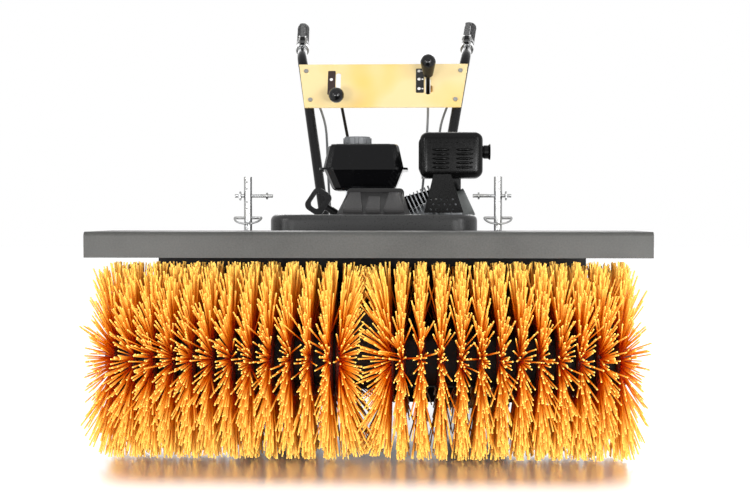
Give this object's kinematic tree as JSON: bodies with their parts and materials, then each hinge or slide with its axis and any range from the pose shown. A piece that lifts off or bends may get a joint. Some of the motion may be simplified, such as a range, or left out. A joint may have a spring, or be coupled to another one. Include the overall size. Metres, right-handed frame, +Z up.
{
  "type": "power brush sweeper",
  "caption": "Walk-behind power brush sweeper: a wide bristle roller under a hood on support casters, swivelling on a two-wheel chassis with a small engine and handlebar controls.",
  "frame": {"origin": "on the ground, under the middle of the machine's box", "axes": "+Z up, the brush faces -Y, the handles reach towards +Y, +X to the right in the picture"},
  "size_m": [1, 1.4817, 0.9887],
  "materials": {
    "hood_paint": "satin",
    "black_paint": "satin",
    "guard_paint": "satin",
    "cover_plastic": "textured",
    "panel_yellow": "satin",
    "bristle_orange": "satin",
    "zinc": "bright zinc",
    "steel": "machined",
    "pulley_steel": "dark",
    "core_steel": "satin",
    "bronze": "machined",
    "gear_iron": "painted",
    "engine_aluminium": "die cast",
    "transmission_aluminium": "die cast",
    "flywheel_iron": "cast",
    "tank_gloss": "gloss",
    "cap_plastic": "satin",
    "moulded_black": "moulded",
    "knob_black": "gloss",
    "rubber_black": "matt",
    "cable_grey": "satin",
    "tyre_black": "matt",
    "rim_white": "satin"
  },
  "bodies": {
    "chassis": {"deck_plate": "black_paint", "side_plates": "black_paint", "pivot_bracket": "black_paint", "transmission_case": "transmission_aluminium", "handle_tube_left": "black_paint", "handle_tube_right": "black_paint", "control_panel": "panel_yellow", "handle_grips": "rubber_black", "control_cables": "cable_grey", "belt_guard": "guard_paint", "ridged_cover": "cover_plastic", "crankcase": "engine_aluminium", "cylinder_block": "engine_aluminium", "cylinder_head": "engine_aluminium", "valve_cover": "engine_aluminium", "spark_plug": "moulded_black", "fuel_tank": "tank_gloss", "muffler": "black_paint", "muffler_guard": "black_paint", "heat_shield": "black_paint", "carburettor": "engine_aluminium", "air_cleaner": "moulded_black", "breather_hose": "rubber_black", "blower_housing": "black_paint", "recoil_cover": "moulded_black", "fasteners": "zinc", "brush_belt": "rubber_black", "drive_belt": "rubber_black"},
    "crank": {"crankshaft": "steel", "engine_pulley": "pulley_steel", "flywheel": "flywheel_iron"},
    "cap": {"fuel_cap": "cap_plastic"},
    "starter": {"starter_grip": "moulded_black"},
    "gear_control": {"gear_lever": "black_paint", "gear_knob": "knob_black"},
    "gear_rod": {"shift_rod": "black_paint"},
    "angle_control": {"angle_lever": "black_paint", "angle_knob": "knob_black"},
    "clutch_left": {"clutch_lever_left": "black_paint"},
    "clutch_right": {"clutch_lever_right": "black_paint"},
    "head": {"hood": "hood_paint", "hood_frame": "black_paint", "apron": "rubber_black", "gearbox_case": "gear_iron"},
    "input": {"worm_shaft": "steel", "input_pulley": "pulley_steel"},
    "brush": {"brush_shaft": "core_steel", "worm_wheel": "bronze", "bristles_left": "bristle_orange", "bristles_right": "bristle_orange"},
    "post_left": {"caster_post_left": "zinc"},
    "post_right": {"caster_post_right": "zinc"},
    "fork_left": {"caster_fork_left": "zinc"},
    "fork_right": {"caster_fork_right": "zinc"},
    "support_wheel_left": {"caster_wheel_left": "rubber_black"},
    "support_wheel_right": {"caster_wheel_right": "rubber_black"},
    "drive_wheels": {"drive_axle": "steel", "drive_rims": "rim_white", "drive_tyres": "tyre_black"},
    "transmission": {"transmission_pulley": "pulley_steel"}
  },
  "joints": [
    {"name": "head_swivel", "type": "hinge", "parent": "chassis", "child": "head", "pos_m": [0, -0.17582, 0.232], "axis": [0, 0, 1], "range_deg": [-15, 15], "deforming": ["brush_belt"]},
    {"name": "brush_spin", "type": "hinge", "parent": "head", "child": "brush", "pos_m": [0, -0.56582, 0.177], "axis": [1, 0, 0], "continuous": true},
    {"name": "input_spin", "type": "hinge", "parent": "head", "child": "input", "pos_m": [0, -0.17582, 0.232], "axis": [0, 1, 0], "continuous": true},
    {"name": "crank_spin", "type": "hinge", "parent": "chassis", "child": "crank", "pos_m": [0, -0.10582, 0.369], "axis": [0, 1, 0], "continuous": true},
    {"name": "transmission_spin", "type": "hinge", "parent": "chassis", "child": "transmission", "pos_m": [0, -0.12632, 0.218], "axis": [0, 1, 0], "continuous": true},
    {"name": "wheel_spin", "type": "hinge", "parent": "chassis", "child": "drive_wheels", "pos_m": [0, -0.00582, 0.165], "axis": [1, 0, 0], "continuous": true},
    {"name": "fuel_cap_turn", "type": "hinge", "parent": "chassis", "child": "cap", "pos_m": [-0.047, 0.02118, 0.6], "axis": [0, 0, 1], "range_deg": [0, 90]},
    {"name": "starter_pull", "type": "slide", "parent": "chassis", "child": "starter", "axis": [-0.8299, 0, 0.5579], "range_m": [0, 0.05], "stiffness_N_per_m": 100, "springref_m": -0.05},
    {"name": "gear_shift", "type": "hinge", "parent": "chassis", "child": "gear_control", "pos_m": [-0.116, 0.41429, 0.74266], "axis": [-1, 0, 0], "range_deg": [0, 45]},
    {"name": "gear_rod_slide", "type": "slide", "parent": "chassis", "child": "gear_rod", "axis": [0.1887, -0.4629, -0.8661], "range_m": [0, 0.032]},
    {"name": "angle_release", "type": "hinge", "parent": "chassis", "child": "angle_control", "pos_m": [0.116, 0.4152, 0.74444], "axis": [-1, 0, 0], "range_deg": [-37, 0]},
    {"name": "clutch_squeeze_left", "type": "hinge", "parent": "chassis", "child": "clutch_left", "pos_m": [-0.22131, 0.50778, 0.90832], "axis": [-0.9962, -0.0866, 0], "range_deg": [0, 9], "stiffness_Nm_per_rad": 3, "springref_deg": -11.46},
    {"name": "clutch_squeeze_right", "type": "hinge", "parent": "chassis", "child": "clutch_right", "pos_m": [0.22131, 0.50778, 0.90832], "axis": [-0.9962, 0.0866, 0], "range_deg": [0, 9], "stiffness_Nm_per_rad": 3, "springref_deg": -11.46},
    {"name": "caster_height_left", "type": "slide", "parent": "head", "child": "post_left", "axis": [0, 0, 1], "range_m": [-0.06, 0]},
    {"name": "caster_swivel_left", "type": "hinge", "parent": "post_left", "child": "fork_left", "pos_m": [-0.25, -0.29982, 0.106], "axis": [0, 0, 1], "continuous": true},
    {"name": "caster_roll_left", "type": "hinge", "parent": "fork_left", "child": "support_wheel_left", "pos_m": [-0.25, -0.27482, 0.05], "axis": [1, 0, 0], "continuous": true},
    {"name": "caster_height_right", "type": "slide", "parent": "head", "child": "post_right", "axis": [0, 0, 1], "range_m": [-0.06, 0]},
    {"name": "caster_swivel_right", "type": "hinge", "parent": "post_right", "child": "fork_right", "pos_m": [0.25, -0.29982, 0.106], "axis": [0, 0, 1], "continuous": true},
    {"name": "caster_roll_right", "type": "hinge", "parent": "fork_right", "child": "support_wheel_right", "pos_m": [0.25, -0.27482, 0.05], "axis": [1, 0, 0], "continuous": true}
  ],
  "couplings": [
    {"joint": "input_spin", "follows": "brush_spin", "ratio": 18},
    {"joint": "gear_rod_slide", "follows": "gear_shift", "m_per_rad": 0.039}
  ]
}
